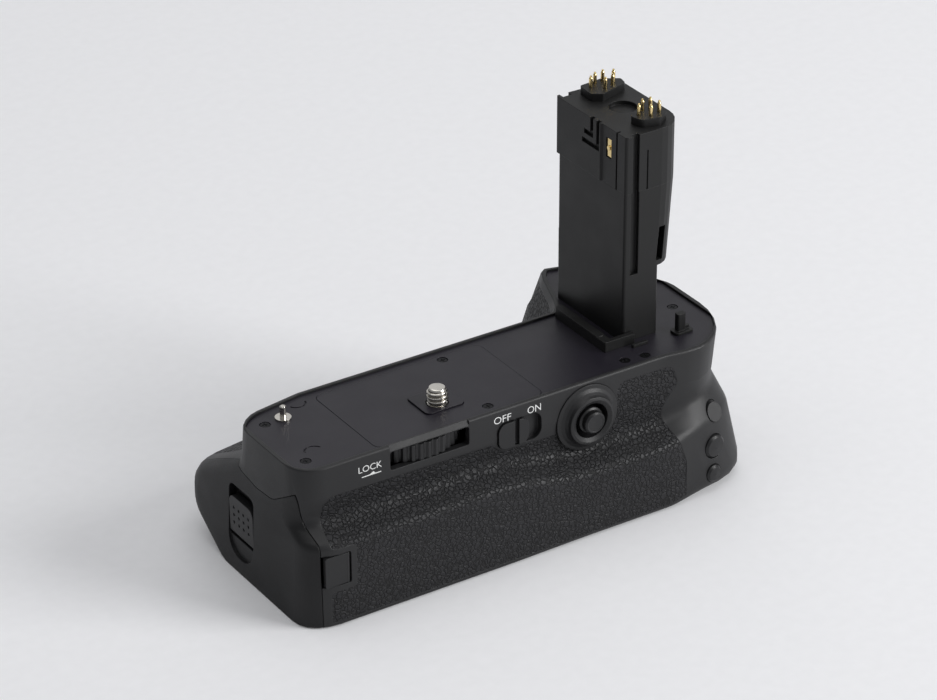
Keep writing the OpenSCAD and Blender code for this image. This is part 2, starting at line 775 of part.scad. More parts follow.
// Pad round the screw: a flange in the panel and a guide through the plate
module screw_pad() {
    color("#3c3b42")
        difference() {
            union() {
                plan_prism(box_outline(pad_x0 + 0.1, pad_x1 - 0.1, pad_y0 + 0.1, pad_y1 - 0.1, 1.5),
                    plate_z - panel_t, pad_z);
                plan_prism(box_outline(pad_x0 + 2.1, pad_x1 - 2.1, pad_y0 + 1, pad_y1 - 2.1, 1),
                    plate_under, plate_z - panel_t);
            }
            post(0, 0, plate_under - 1, pad_z + 1, screw_r + 0.08);
        }
}

module locating_pin() {
    color("silver")
        translate([locator_x, locator_y, 0])
            rotate_extrude()
                polygon([
                    [0, plate_under], [locator_r + 0.4, plate_under], [locator_r + 0.4, plate_z],
                    [locator_flange_r, plate_z], [locator_flange_r, plate_z + 0.5], [locator_r, plate_z + 0.5],
                    [locator_r, plate_z + locator_h - 0.3], [locator_r - 0.3, plate_z + locator_h],
                    [0, plate_z + locator_h]
                ]);
}

module deck_screws() {
    color("#202020")
        for (p = deck_screw_at)
            difference() {
                union() {
                    post(p[0], p[1], plate_z - 0.6, plate_z - 0.1, 1.4);
                    post(p[0], p[1], plate_under - 1.5, plate_z - 0.5, 0.85);
                }
                for (a = [0, 90])
                    translate([p[0], p[1], plate_z])
                        rotate([0, 0, a])
                            cube([1.7, 0.35, 0.5], center = true);
            }
}

// Stem that fills the camera's battery bay
stem_y0 = 0;
stem_y1 = stem_y0 + stem_d;
stem_x1 = stem_x + stem_w;
neck_x1 = stem_x + neck_w;
stem_top = rim_z + stem_h;
stem_seam = stem_top - cap_h;
head_z = rim_z + 21.3;
head_taper = 0.9;
root_z = plate_under - 3;
stem_root_outline = box_outline(stem_x + 1, neck_x1 - 1, stem_y0 + 1, stem_y1 - 1, 1);
head_outline = rounded([[stem_x, stem_y0, 0.8], [stem_x1, stem_y0, 8.2], [stem_x1, stem_y1, 3], [stem_x, stem_y1, 1]]);
neck_outline = box_outline(stem_x, neck_x1, stem_y0, stem_y1, 0.8);

module near_slot(z0, z1, x0, x1, deep) {
    box(x0, x1, stem_y0 - 1, stem_y0 + deep, z0, z1);
}

module stem_column() {
    under = 3.2;
    edge = stem_x + stem_w * head_taper;
    color("#3b3b3b")
        difference() {
            union() {
                plan_prism(neck_outline, plate_z, head_z + 1);
                // the head narrows downwards from its seam
                translate([stem_x, 0, stem_seam])
                    rotate([180, 0, 0])
                        linear_extrude(stem_seam - head_z, slices = 1, scale = [head_taper, 1])
                            polygon([for (p = head_outline) [p[0] - stem_x, -p[1]]]);
                plan_prism(box_outline(stem_x + 1.05, neck_x1 - 1.05, stem_y0 + 1.05, stem_y1 - 1.05, 1),
                    root_z, plate_z + 0.5);
            }
            // rounded underside of the overhanging head
            difference() {
                box(edge - under, stem_x1 + 1, -1, stem_y1 + 1, head_z - 1, head_z + under);
                translate([edge - under, stem_y1 + 2, head_z + under])
                    rotate([90, 0, 0])
                        cylinder(h = stem_d + 4, r = under);
            }
            near_slot(head_z - 0.7, stem_seam + 1, stem_x + 2, stem_x + 4.8, 1.3);
            // guide slot in the overhang
            translate([neck_x1 + 0.3, 0, head_z + 1.5])
                rotate([0, 5.4, 0])
                    box(-1.25, 1.25, stem_y0 - 1, stem_y0 + 5, 0, 10.6);
            // the column is moulded hollow
            plan_prism(box_outline(stem_x + 2, neck_x1 - 2, stem_y0 + 3, stem_y1 - 2, 1), root_z - 1, stem_seam - 2);
        }
}

// Places on the head's top [back from its right face, ahead of its near face, rest]
function on_head(c) = [for (p = c) [stem_x1 - p[0], stem_y0 + p[1], p[2]]];
left_block_outline = rounded(on_head([
    [15.2, 25.4, 1.2], [12.2, 23.4, 0.8], [2.6, 26.4, 0.8], [2, 29.4, 0.8], [6.8, 32.4, 1], [14.8, 31.6, 1]
]));
right_block_outline = rounded(on_head([
    [14.2, 7.4, 1.4], [13.2, 3.2, 1.8], [7.4, 1.9, 2], [3.4, 4.6, 2], [4.2, 9.4, 2], [8.4, 11, 2]
]));
block_h = 2.4;
block_sink = 1.5;
left_pin_at = on_head([[12.6, 29.2], [10.2, 30.6], [7.4, 30.8], [4.6, 29.4], [9.6, 26.2], [6.4, 27.2]]);
right_pin_at = on_head([[11.8, 6.6], [9.2, 4.4], [5.8, 5.2], [6.6, 8.4], [9.2, 8.6]]);
pin_r = 0.55;
pin_out = 3.6;
pin_deep = 1.2;
finger_recess = [stem_x1 - 9.6, stem_y0 + 17.4, 4.2];
cap_lip = 0.5;

// Head of the stem, with the contacts' seats, the key grooves and the finger recess
module stem_cap() {
    color("#3e3e3e")
        difference() {
            union() {
                plan_prism(rounded([
                    [stem_x - cap_lip, stem_y0 + 12, 0.3], [stem_x, stem_y0 + 11.5, 0.3], [stem_x, stem_y0, 0.8],
                    [stem_x1, stem_y0, 8.2], [stem_x1, stem_y1, 3], [stem_x - cap_lip, stem_y1 + cap_lip, 0.6]
                ]), stem_seam, stem_top);
            }
            plan_prism(left_block_outline, stem_top - block_sink, stem_top + 1);
            plan_prism(right_block_outline, stem_top - block_sink, stem_top + 1);
            post(finger_recess[0], finger_recess[1], stem_top - 1.2, stem_top + 1, finger_recess[2]);
            near_slot(stem_seam - 1, stem_top + 1, stem_x + 2.4, stem_x + 4.6, 1.3);
            near_slot(stem_seam - 1, stem_top - 5.5, stem_x + 7.2, stem_x + 7.7, 0.4);
            // notch in the far edge
            box(stem_x + 0.6, stem_x + 3.6, stem_y1 - 1.4, stem_y1 + 2, stem_top - 1, stem_top + 1);
            // two nested corner grooves on the left face
            for (k = [0, 3])
                difference() {
                    box(stem_x - 1, stem_x + 0.5, stem_y0 + 12.5 + k, stem_y0 + 21 - k / 3, stem_top - 9 + k, stem_top + 1);
                    box(stem_x - 2, stem_x + 1, stem_y0 + 14 + k, stem_y0 + 22, stem_top - 7.5 + k, stem_top + 2);
                }
            // seat of the side contact and the thin slot beside it
            box(stem_x - 1, stem_x + 0.8, stem_y0 + 7.2, stem_y0 + 9.8, stem_top - 9.4, stem_top - 3.4);
            box(stem_x - 1, stem_x + 1.2, stem_y0 + 4.2, stem_y0 + 4.9, stem_seam - 1, stem_top + 1);
        }
}

module stem_side_contact() {
    color("gold")
        union() {
            box(stem_x + 0.3, stem_x + 0.8, stem_y0 + 7.6, stem_y0 + 9.4, stem_top - 9.2, stem_top - 3.6);
            x_bar(stem_y0 + 8.5, stem_top - 6.4, stem_x - 0.1, stem_x + 0.5, 0.7);
        }
}

module pin_block(outline, pins) {
    difference() {
        plan_prism(outline, stem_top - block_sink, stem_top + block_h);
        for (p = pins)
            post(p[0], p[1], stem_top - block_sink + 0.4, stem_top + block_h + 1, pin_r + run_gap);
    }
}
module left_pin_block() {
    color("#262626")
        pin_block(left_block_outline, left_pin_at);
}
module right_pin_block() {
    color("#262626")
        pin_block(right_block_outline, right_pin_at);
}
// Sprung contact pins, round-nosed, standing in their block
module contact_pins(pins) {
    for (p = pins)
        translate([p[0], p[1], 0])
            rotate_extrude()
                polygon([
                    [0, stem_top - block_sink + 0.4 + pin_deep], [pin_r, stem_top - block_sink + 0.4 + pin_deep],
                    [pin_r, stem_top + block_h + pin_out - 0.9], [pin_r * 0.6, stem_top + block_h + pin_out - 0.5],
                    [pin_r * 0.6, stem_top + block_h + pin_out - 0.15], [pin_r * 0.3, stem_top + block_h + pin_out],
                    [0, stem_top + block_h + pin_out]
                ]);
}
module left_contact_pins() {
    color("gold")
        contact_pins(left_pin_at);
}
module right_contact_pins() {
    color("gold")
        contact_pins(right_pin_at);
}

// Rails beside the stem that hold the camera's own bay cover
module cover_holder() {
    rail_x = stem_x - 7.6;
    color("#3b3b3b")
        union() {
            plan_prism(box_outline(rail_x, rail_x + 2.8, 2, 24, 1), plate_z, plate_z + 3.4);
            plan_prism(box_outline(rail_x, stem_x + 3, -1.9, -0.3, 0.4), plate_z, plate_z + 3.2);
            plan_prism(box_outline(rail_x, rail_x + 2.8, -1.9, 6, 0.8), plate_z, plate_z + 3.2);
            plan_prism(box_outline(stem_x + 0.7, stem_x + 6, -4.2, -3.2, 0.3), plate_z, plate_z + 1);
        }
}

// Post that keeps the open bay door of the camera out of the way
module door_post() {
    post_x = stem_x1 - 4.2;
    color("#333333")
        union() {
            plan_prism(box_outline(post_x - 1.2, post_x + 5, -5.4, -1.6, 1), plate_z, plate_z + 0.8);
            plan_prism(box_outline(post_x, post_x + 2.8, -4.4, -2.4, 0.5), plate_z, plate_z + 6.2);
            plan_prism(box_outline(post_x + 2.2, post_x + 4.4, -3.9, -2.9, 0.3), plate_z, plate_z + 1.8);
        }
}

// Sliding switch: grip with a groove, neck through the slot and the slider behind the wall
module power_switch() {
    x0 = switch_x0 + 0.2;
    mid = (switch_z0 + switch_z1) / 2;
    color("#343434")
        union() {
            difference() {
                rear_prism(box_outline(x0, x0 + knob_l, switch_z0 + 0.3, switch_z1 - 0.3, 2.6), -rear_y - 0.7,
                    -switch_floor - 0.2);
                box(x0 + 5.4, x0 + 6.8, -rear_y - 2, -rear_y + 0.5, switch_z0, switch_z1);
            }
            box(x0 + 3.1, x0 + 4.9, -switch_floor - 0.4, -rear_y + wall + 0.6, 37.5, 39.2);
            box(x0 + 1.4, x0 + 6.6, -rear_y + wall + 0.4, -rear_y + wall + 1.6, mid - 3, mid + 3);
        }
}

// Joystick: a flared bezel, a sliding carrier, a gimbal ring and the cap
module around_stick() {
    translate([stick_x, 0, stick_z])
        rotate([90, 0, 0])
            rotate_extrude()
                children();
}
bezel_out = rear_y + 3;
module joystick_bezel() {
    color("#3a3a3a")
        around_stick()
            polygon(concat(
                [[stick_well_r, bezel_seat - 2.6], [stick_well_r + 0.5, bezel_seat - 2.6], [stick_well_r + 0.5, bezel_seat]],
                [[bezel_r, bezel_seat], [bezel_r, rear_y + 0.4]],
                [for (k = [1:4]) [mix(bezel_r, 7.4, sin(k * 22.5)), mix(rear_y + 0.4, bezel_out, 1 - cos(k * 22.5))]],
                [[6.6, bezel_out + 0.3], [stick_well_r, bezel_out - 0.4]]
            ));
}
base_y = 6.4;
module joystick_base() {
    color("#2a2a2a")
        difference() {
            union() {
                y_bar(stick_x, stick_z, -bezel_seat + 2.6, -base_y, stick_well_r + 0.9);
                box(stick_x - 9, stick_x + 9, -base_y - 0.1, -base_y + 1.6, tunnel_z1, stick_z + 7);
            }
            y_bar(stick_x, stick_z, -20, -base_y, stick_well_r - 0.4);
        }
}
ear_in = 3.2;
module joystick_carrier() {
    back = -base_y - 1;
    r = stick_well_r - 0.4 - run_gap;
    color("#555555")
        difference() {
            union() {
                y_bar(stick_x, stick_z, back - 1.2, back, r);
                difference() {
                    y_bar(stick_x, stick_z, pivot_y - 1, back, r);
                    box(stick_x - 9, stick_x + 9, pivot_y - 9, back - 1.2, stick_z - ear_in - 0.7, stick_z + ear_in + 0.7);
                    box(stick_x - 9, stick_x - 1.4, pivot_y - 9, back - 1.2, stick_z - 9, stick_z + 9);
                    box(stick_x + 1.4, stick_x + 9, pivot_y - 9, back - 1.2, stick_z - 9, stick_z + 9);
                }
            }
            translate([stick_x, pivot_y, stick_z - 8])
                cylinder(h = 16, r = 0.45 + run_gap);
        }
}
module joystick_gimbal() {
    color("#666666")
        difference() {
            union() {
                y_bar(stick_x, stick_z, pivot_y - 0.8, pivot_y + 0.8, ear_in + 0.2);
                translate([stick_x, pivot_y, stick_z - stick_well_r + 0.9])
                    cylinder(h = 2 * stick_well_r - 1.8, r = 0.45);
            }
            y_bar(stick_x, stick_z, pivot_y - 2, pivot_y + 2, ear_in - 1);
            x_bar(pivot_y, stick_z, stick_x - 6, stick_x + 6, 0.45 + run_gap);
        }
}
module joystick_cap() {
    tip = rear_y + 4.7;
    color("#303030")
        union() {
            around_stick()
                polygon([
                    [0, -pivot_y - 0.7], [1.5, -pivot_y - 0.7], [1.5, rear_y - 0.6], [stick_r + 0.6, rear_y + 1],
                    [stick_r + 0.6, rear_y + 2.2], [stick_r, rear_y + 2.6], [stick_r, tip - 0.5], [stick_r - 0.5, tip],
                    [stick_r - 1, tip - 0.2], [0, tip - 0.35]
                ]);
            x_bar(pivot_y, stick_z, stick_x - ear_in, stick_x + ear_in, 0.45);
        }
}

// Thumb buttons: domed caps with a collar inside the wall
module push_button(at, turn, r, out, deep, collar) {
    facing(at, turn)
        rotate([90, 0, 0])
            rotate_extrude()
                polygon([
                    [0, -deep], [r - 0.4, -deep], [r - 0.4, -collar - 0.9], [r + collar_w, -collar - 0.9],
                    [r + collar_w, -collar], [r, -collar], [r, out - 0.6], [r - 0.6, out], [0, out + 0.25]
                ]);
}
module upper_button() {
    color("#3a3a3a")
        difference() {
            push_button(upper_at, pod_turn, button_small_r, upper_out, button_in, upper_collar);
            // its face follows the slope of the wall
            facing(upper_at, pod_turn)
                translate([0, -1.1, 0])
                    rotate([-upper_tilt, 0, 0])
                        box(-6, 6, -8, 0, -8, 8);
        }
}
module middle_button() {
    color("#3a3a3a")
        push_button(middle_at, pod_turn, button_big_r, middle_out, button_in, middle_collar);
}
module lower_button() {
    color("#3a3a3a")
        push_button(lower_at, pod_turn, button_small_r, lower_out, button_in, lower_collar);
}
module shutter_button() {
    color("#3a3a3a")
        push_button(shutter_at, diag_turn, shutter_r, 1.4, shutter_in, shutter_collar);
}
module function_button() {
    color("#3a3a3a")
        push_button(function_at, diag_turn, button_small_r, 0.3, function_in, function_collar);
}

// Board and switches behind the thumb buttons, standing on the housing's floor
board_t = 1.2;
switch_h = 1.6;
module button_board() {
    y0 = button_in + switch_gap + switch_h;
    color("darkgreen")
        facing([thumb_x, thumb_y, 0], pod_turn)
            box(-4.6, 4.6, y0, y0 + board_t, wall, 30);
}
module tact_switches() {
    y0 = button_in + switch_gap;
    color("lightgray")
        for (at = [upper_at, middle_at, lower_at])
            facing(at, pod_turn)
                union() {
                    y_bar(0, 0, y0, y0 + 0.8, 1.1);
                    box(-2.2, 2.2, y0 + 0.6, y0 + switch_h, -2.2, 2.2);
                }
}

// Board behind the shutter and function buttons, with their switches
module shutter_board() {
    y0 = shutter_in + switch_gap;
    color("darkgreen")
        union() {
            facing([shutter_at[0], shutter_at[1], 0], diag_turn)
                box(-7, 7, y0 + switch_h, y0 + switch_h + board_t, 13, 43);
            box(tunnel_x1, shutter_at[0] - 5.4, shutter_at[1] - 7.9, shutter_at[1] - 5.9, 14, 24);
            for (b = [[shutter_at, shutter_in], [function_at, function_in]])
                facing(b[0], diag_turn)
                    translate([0, b[1] + switch_gap, 0])
                        union() {
                            y_bar(0, 0, 0, 0.8, 1.1);
                            box(-2.2, 2.2, 0.6, switch_h + 0.1, -2.2, 2.2);
                        }
        }
}

module main_dial() {
    color("#303030")
        translate([dial_x, dial_y + dial_w / 2, dial_z])
            rotate([90, 0, 0])
                difference() {
                    linear_extrude(dial_w)
                        polygon(knurl_outline(30, dial_r, 0.5));
                    post(0, 0, -1, dial_w + 1, axle_r + run_gap);
                }
}

// Fork on the end of the tunnel that carries the dial's axle
module dial_bracket() {
    arm = 1.4;
    side = dial_w / 2 + 0.3;
    color("#3a3a3a")
        union() {
            for (y = [dial_y - side - arm, dial_y + side])
                box(tunnel_x1, dial_x + 2, y, y + arm, dial_z - 2.2, dial_z + 2.2);
            box(tunnel_x1, tunnel_x1 + 1.6, dial_y - side - arm, dial_y + side + arm, dial_z - 9, dial_z + 2.2);
            y_bar(dial_x, dial_z, dial_y - side - arm, dial_y + side + arm, axle_r);
        }
}

// Preview button low on the front, with its switch on the tunnel's wall
module preview_button() {
    color("#3a3a3a")
        push_button(preview_at, 180, preview_r, wall + 0.6, preview_in, preview_collar);
}
module preview_switch() {
    top = preview_wall - preview_in - switch_gap;
    color("lightgray")
        union() {
            box(preview_x - 2.6, preview_x + 2.6, tunnel_y1, top - 0.8, preview_z - 2.6, preview_z + 2.6);
            y_bar(preview_x, preview_z, top - 1, top, 1.1);
        }
}

// Main circuit board on its spacers over the tunnel
module main_board() {
    x0 = 13;
    x1 = 60;
    y0 = -3.4;
    y1 = 20;
    z0 = tunnel_z1 + 2;
    color("darkgreen")
        union() {
            box(x0, x1, y0, y1, z0, z0 + board_t);
            for (x = [x0 + 3, x1 - 3], y = [y0 + 3, y1 - 3])
                post(x, y, tunnel_z1, z0 + 0.5, 1.6);
            box(x0 + 10, x0 + 19, y0 + 8, y0 + 17, z0 + 1, z0 + board_t + 1);
            box(x0 + 28, x0 + 34, y0 + 5, y0 + 11, z0 + 1, z0 + board_t + 0.9);
            box(x0 + 38, x0 + 44, y0 + 12, y0 + 18, z0 + 1, z0 + board_t + 2.4);
        }
}
// Card with the contacts of the power switch
module switch_card() {
    color("darkgreen")
        box(switch_x0 + 1, switch_x0 + 13, -rear_y + wall + 1.8, -rear_y + wall + 3.4, tunnel_z1, switch_z1 - 1);
}

contact_y = [for (k = [0:3]) magazine_y0 + magazine_w / 2 - 13.5 + k * 7.6];
// Sprung strips at the blind end of the tunnel
module bay_contacts() {
    color("gold")
        for (y = contact_y)
            box(magazine_x1 + 0.25, magazine_x1 + contact_gap, y, y + 3, magazine_z0 + 6, magazine_z0 + 16);
}

// Magazine: a tray with two pockets in line for the packs
module magazine_profile() {
    polygon([
        [magazine_y0, magazine_z0], [magazine_y1, magazine_z0], [magazine_y1, magazine_z1 - edge_cut],
        [magazine_y1 - edge_cut, magazine_z1], [magazine_y0, magazine_z1]
    ]);
}
pocket_x = [for (k = [0, 1]) magazine_x0 + left_wall + k * (pocket_l + mid_wall)];
module magazine_frame() {
    color("#454545")
        difference() {
            translate([magazine_x0, 0, 0])
                rotate([90, 0, 90])
                    linear_extrude(magazine_x1 - magazine_x0)
                        magazine_profile();
            for (x = pocket_x)
                box(x, x + pocket_l, magazine_y0 + pocket_wall, magazine_y1 - pocket_wall,
                    magazine_z0 + magazine_floor, magazine_z1 + 5);
            box(bolt_x0 - 0.15, bolt_x1 + 0.15, bolt_y - bolt_w / 2 - 0.15, bolt_y + bolt_w / 2 + 0.15,
                magazine_z1 - bolt_l + bolt_out - bolt_travel - 0.3, magazine_z1 + 1);
            for (y = contact_y)
                box(magazine_x1 - 0.4, magazine_x1 + 1, y - 0.5, y + 3.5, magazine_z0 + 5, magazine_z0 + 17);
        }
}
module magazine_contacts() {
    color("gold")
        for (y = contact_y)
            box(magazine_x1 - 0.4, magazine_x1, y - 0.3, y + 3.3, magazine_z0 + 5.2, magazine_z0 + 16.8);
}
module latch_bolt() {
    color("silver")
        box(bolt_x0, bolt_x1, bolt_y - bolt_w / 2, bolt_y + bolt_w / 2, magazine_z1 - bolt_l + bolt_out,
            magazine_z1 + bolt_out);
}

// End cap that closes the tunnel, with the recess of the release handle
handle_y = 17.2;
handle_w = 13;
handle_z0 = 10.6;
handle_z1 = 23.4;
recess_foot = 4.6;
recess_z1 = 27.2;
recess_x = magazine_x0 - 1.6;
handle_x1 = recess_x - 0.3;
handle_x0 = left_x - 1.2;
handle_pin_r = 0.6;
handle_pin_x = handle_x1 - 0.9;
handle_gap = 0.35;
knuckle_out = 1.5;
handle_pin_z = handle_z0 + knuckle_out;
function stadium(grow, z0, z1, foot_r) = rounded([
    [handle_y - handle_w / 2 - grow, z0, foot_r], [handle_y + handle_w / 2 + grow, z0, foot_r],
    [handle_y + handle_w / 2 + grow, z1, 2.5], [handle_y - handle_w / 2 - grow, z1, 2.5]
]);
module magazine_end_cap() {
    color("dimgray")
        difference() {
            intersection() {
                loft(concat(left_stations, [taper_x]));
                cap_zone(slide_gap);
            }
            end_prism(stadium(handle_gap, handle_z0 - handle_gap, recess_z1, 0.5), -70, recess_x);
            end_prism(stadium(handle_gap, recess_foot, recess_z1, 6), -70, left_x - 1);
            // room for the handle's knuckle to turn, and the pin's holes
            y_bar(handle_pin_x, handle_pin_z, handle_y - handle_w / 2 - handle_gap, handle_y + handle_w / 2 + handle_gap,
                knuckle_out + 0.25);
            y_bar(handle_pin_x, handle_pin_z, handle_y - handle_w / 2 - 2.1, handle_y + handle_w / 2 + 2.1, handle_pin_r);
        }
}
module release_handle() {
    rows = [for (y = [-4, -1.3, 1.3, 4], z = [15, 17.4, 19.8]) [y, z]];
    color("#2e2e2e")
        difference() {
            end_prism(stadium(0, handle_z0, handle_z1, 0.4), handle_x0, handle_x1);
            y_bar(handle_pin_x, handle_pin_z, handle_y - handle_w, handle_y + handle_w, handle_pin_r + run_gap);
            // below its pin the handle is round
            difference() {
                box(handle_x0 - 1, handle_x1 + 1, handle_y - 9, handle_y + 9, handle_z0 - 1, handle_pin_z);
                y_bar(handle_pin_x, handle_pin_z, handle_y - 10, handle_y + 10, knuckle_out);
            }
            for (p = rows)
                x_bar(handle_y + p[0], p[1], handle_x0 - 1, handle_x0 + 0.3, 0.5);
        }
}
module handle_pin() {
    color("silver")
        y_bar(handle_pin_x, handle_pin_z, handle_y - handle_w / 2 - 2.1, handle_y + handle_w / 2 + 2.1, handle_pin_r);
}

// Flap over the way in for a mains adapter's cord
module cord_cover() {
    color("#3d3d3d")
        difference() {
            union() {
                rear_prism(box_outline(cover_x0, hinge_x, cover_z0 + slide_gap, cover_z1 - slide_gap, 0.5),
                    cover_y0, cover_y0 + cover_t);
                post(hinge_x, hinge_y, cover_z0 + slide_gap, cover_z1 - slide_gap, knuckle_r);
            }
            post(hinge_x, hinge_y, cover_z0 - 1, cover_z1 + 1, hinge_r + run_gap);
        }
}
module cord_hinge_pin() {
    color("silver")
        post(hinge_x, hinge_y, cover_z0 - hinge_in, cover_z1 + hinge_in, hinge_r);
}

main_housing();
rear_grip_skin();
front_grip_skin();
base_plate();
top_plate();
mount_panel();
screw_pad();
magazine_tunnel();
wheel_boss();
tripod_bush();
stem_column();
stem_cap();
stem_side_contact();
left_pin_block();
right_pin_block();
left_contact_pins();
right_contact_pins();
locating_pin();
cover_holder();
door_post();
deck_screws();
base_screws();
thumbwheel();
attachment_screw();
screw_pinion();
power_switch();
joystick_bezel();
joystick_base();
joystick_carrier();
joystick_gimbal();
joystick_cap();
upper_button();
middle_button();
lower_button();
button_board();
tact_switches();
shutter_button();
function_button();
shutter_board();
main_dial();
dial_bracket();
preview_button();
preview_switch();
main_board();
switch_card();
bay_contacts();
magazine_frame();
magazine_end_cap();
magazine_contacts();
release_handle();
handle_pin();
latch_bolt();
cord_cover();
cord_hinge_pin();
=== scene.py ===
import json
import math

import bmesh
import bpy
from mathutils import Matrix, Vector


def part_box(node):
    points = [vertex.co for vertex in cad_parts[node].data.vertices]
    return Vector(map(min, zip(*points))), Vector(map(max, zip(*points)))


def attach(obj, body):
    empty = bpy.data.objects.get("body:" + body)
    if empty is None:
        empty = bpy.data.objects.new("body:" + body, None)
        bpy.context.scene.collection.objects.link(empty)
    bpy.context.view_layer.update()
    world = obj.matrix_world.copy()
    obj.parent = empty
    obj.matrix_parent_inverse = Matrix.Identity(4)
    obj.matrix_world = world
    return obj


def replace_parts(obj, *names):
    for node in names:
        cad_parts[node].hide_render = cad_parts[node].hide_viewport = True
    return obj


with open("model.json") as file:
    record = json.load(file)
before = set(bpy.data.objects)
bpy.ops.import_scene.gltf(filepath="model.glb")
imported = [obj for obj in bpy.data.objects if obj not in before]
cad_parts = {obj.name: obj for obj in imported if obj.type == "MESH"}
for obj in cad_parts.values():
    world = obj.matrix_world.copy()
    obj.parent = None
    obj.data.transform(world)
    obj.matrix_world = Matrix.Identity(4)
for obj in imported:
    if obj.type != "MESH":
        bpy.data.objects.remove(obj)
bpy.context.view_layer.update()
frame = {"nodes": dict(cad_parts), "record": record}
NODES = frame["nodes"]
MM = 0.001


def mm(*point):
    """A point given in millimetres, in metres."""
    return Vector(point) * MM


def linear(*tone):
    """An sRGB tone of 0 to 255 as a linear colour."""
    steps = [v / 255 for v in tone]
    curve = (s / 12.92 if s <= 0.04045 else ((s + 0.055) / 1.055) ** 2.4 for s in steps)
    return tuple(curve) + (1.0,)


def scaled(tone, share):
    """A share of an sRGB tone as a linear colour."""
    return linear(*(v * share for v in tone))


class Wire:
    """An output socket of a finish's nodes, which takes part in arithmetic."""

    def __init__(self, finish, socket):
        self.finish = finish
        self.socket = socket

    def _math(self, operation, first, second):
        return self.finish.node("ShaderNodeMath", {"operation": operation}, {0: first, 1: second})

    def __add__(self, other):
        return self._math("ADD", self, other)

    def __radd__(self, other):
        return self._math("ADD", other, self)

    def __sub__(self, other):
        return self._math("SUBTRACT", self, other)

    def __rsub__(self, other):
        return self._math("SUBTRACT", other, self)

    def __mul__(self, other):
        return self._math("MULTIPLY", self, other)

    def __rmul__(self, other):
        return self._math("MULTIPLY", other, self)


class Finish:
    """One surface finish: a procedural material round a Principled shader."""

    def __init__(self, name, **constants):
        self.material = bpy.data.materials.new(name)
        self.material.use_nodes = True
        self.tree = self.material.node_tree
        self.shader = self.tree.nodes["Principled BSDF"]
        for socket, value in constants.items():
            self.shader.inputs[socket.replace("_", " ")].default_value = value
        self.place = self.node("ShaderNodeTexCoord", {}, {}, "Object")

    def node(self, kind, settings, sockets, output=0):
        """A node of any kind: its settings first, then the values or wires of its sockets."""
        made = self.tree.nodes.new(kind)
        for key, value in settings.items():
            setattr(made, key, value)
        for key, value in sockets.items():
            if isinstance(value, Wire):
                self.tree.links.new(value.socket, made.inputs[key])
            else:
                made.inputs[key].default_value = value
        return Wire(self, made.outputs[output])

    def noise(self, scale, detail=2.0, rough=0.5, place=None, output=0):
        """A cloudy pattern, its scale in cells per metre."""
        sockets = {"Vector": place or self.place, "Scale": scale, "Detail": detail, "Roughness": rough}
        return self.node("ShaderNodeTexNoise", {}, sockets, output)

    def between(self, low, high, value):
        """0 below low, 1 above high, smooth between."""
        return self.node("ShaderNodeMapRange", {"interpolation_type": "SMOOTHSTEP"},
            {"Value": value, "From Min": low, "From Max": high})

    def mix(self, share, first, second):
        """A blend of two colours, which a Mix node takes at its sockets 6 and 7 and gives at 2."""
        return self.node("ShaderNodeMix", {"data_type": "RGBA"}, {0: share, 6: first, 7: second}, 2)

    def feed(self, socket, wire):
        """Links a wire to a socket of the shader."""
        self.tree.links.new(wire.socket, self.shader.inputs[socket])

    def relief(self, height, depth, edge=0.0):
        """Bump of a height of 0 to 1, depth metres deep, over edges rounded by a small radius."""
        sockets = {"Height": height, "Distance": depth, "Strength": 1.0}
        if edge:
            sockets["Normal"] = self.node("ShaderNodeBevel", {"samples": 6}, {"Radius": edge})
        self.feed("Normal", self.node("ShaderNodeBump", {}, sockets))


def moulded(name, tone, rough, grain, depth, edge, shine):
    """Black moulded plastic with the fine spark grain of its mould. Sizes in millimetres."""
    finish = Finish(name, Specular_IOR_Level=shine)
    cloud = finish.noise(38, detail=3)
    fine = finish.noise(1 / (grain * MM), rough=0.6)
    handled = finish.between(0.35, 0.7, finish.noise(85, detail=4, rough=0.6))
    colour = finish.mix(cloud * 0.7 + fine * 0.3, scaled(tone, 0.88), scaled(tone, 1.12))
    finish.feed("Base Color", colour)
    finish.feed("Roughness", rough + (fine - 0.5) * 0.18 - handled * 0.05)
    finish.relief(fine, depth * MM, edge * MM)
    return finish.material


def pebbled_rubber(name, tone):
    """Grip rubber with the pebbles of a leather: rounded cells between fine creases, with painted
    shade darkening the creases.
    """
    finish = Finish(name, Specular_IOR_Level=0.36)
    cells_per_metre = 700.0
    waviness = (0.0014, 0.0014, 0.0014)
    crease_share = 0.2
    pebble_height = 0.22 * MM
    drift = finish.noise(cells_per_metre, output="Color")
    shift = finish.node("ShaderNodeVectorMath", {"operation": "MULTIPLY_ADD"},
        {0: drift, 1: waviness, 2: finish.place})
    crease = finish.node("ShaderNodeTexVoronoi", {"feature": "DISTANCE_TO_EDGE"},
        {"Vector": shift, "Scale": cells_per_metre, "Randomness": 1.0}, "Distance")
    dome = finish.between(0.0, crease_share, crease)
    pores = finish.noise(4200, rough=0.6)
    swell = finish.noise(420)
    worn = finish.between(0.4, 0.7, finish.noise(60, detail=3))
    # Painted shade: the base colour drops to half its tone in the creases and rises on the pebble
    # tops, as shade between pebbles and light on their tops
    colour = finish.mix(dome * (0.75 + 0.25 * swell), scaled(tone, 0.5), scaled(tone, 1.1))
    finish.feed("Base Color", colour)
    finish.feed("Roughness", 0.64 - dome * 0.14 + (pores - 0.5) * 0.12 - worn * 0.05)
    finish.relief(dome * (0.6 + 0.7 * swell) + pores * 0.08, pebble_height)
    return finish.material


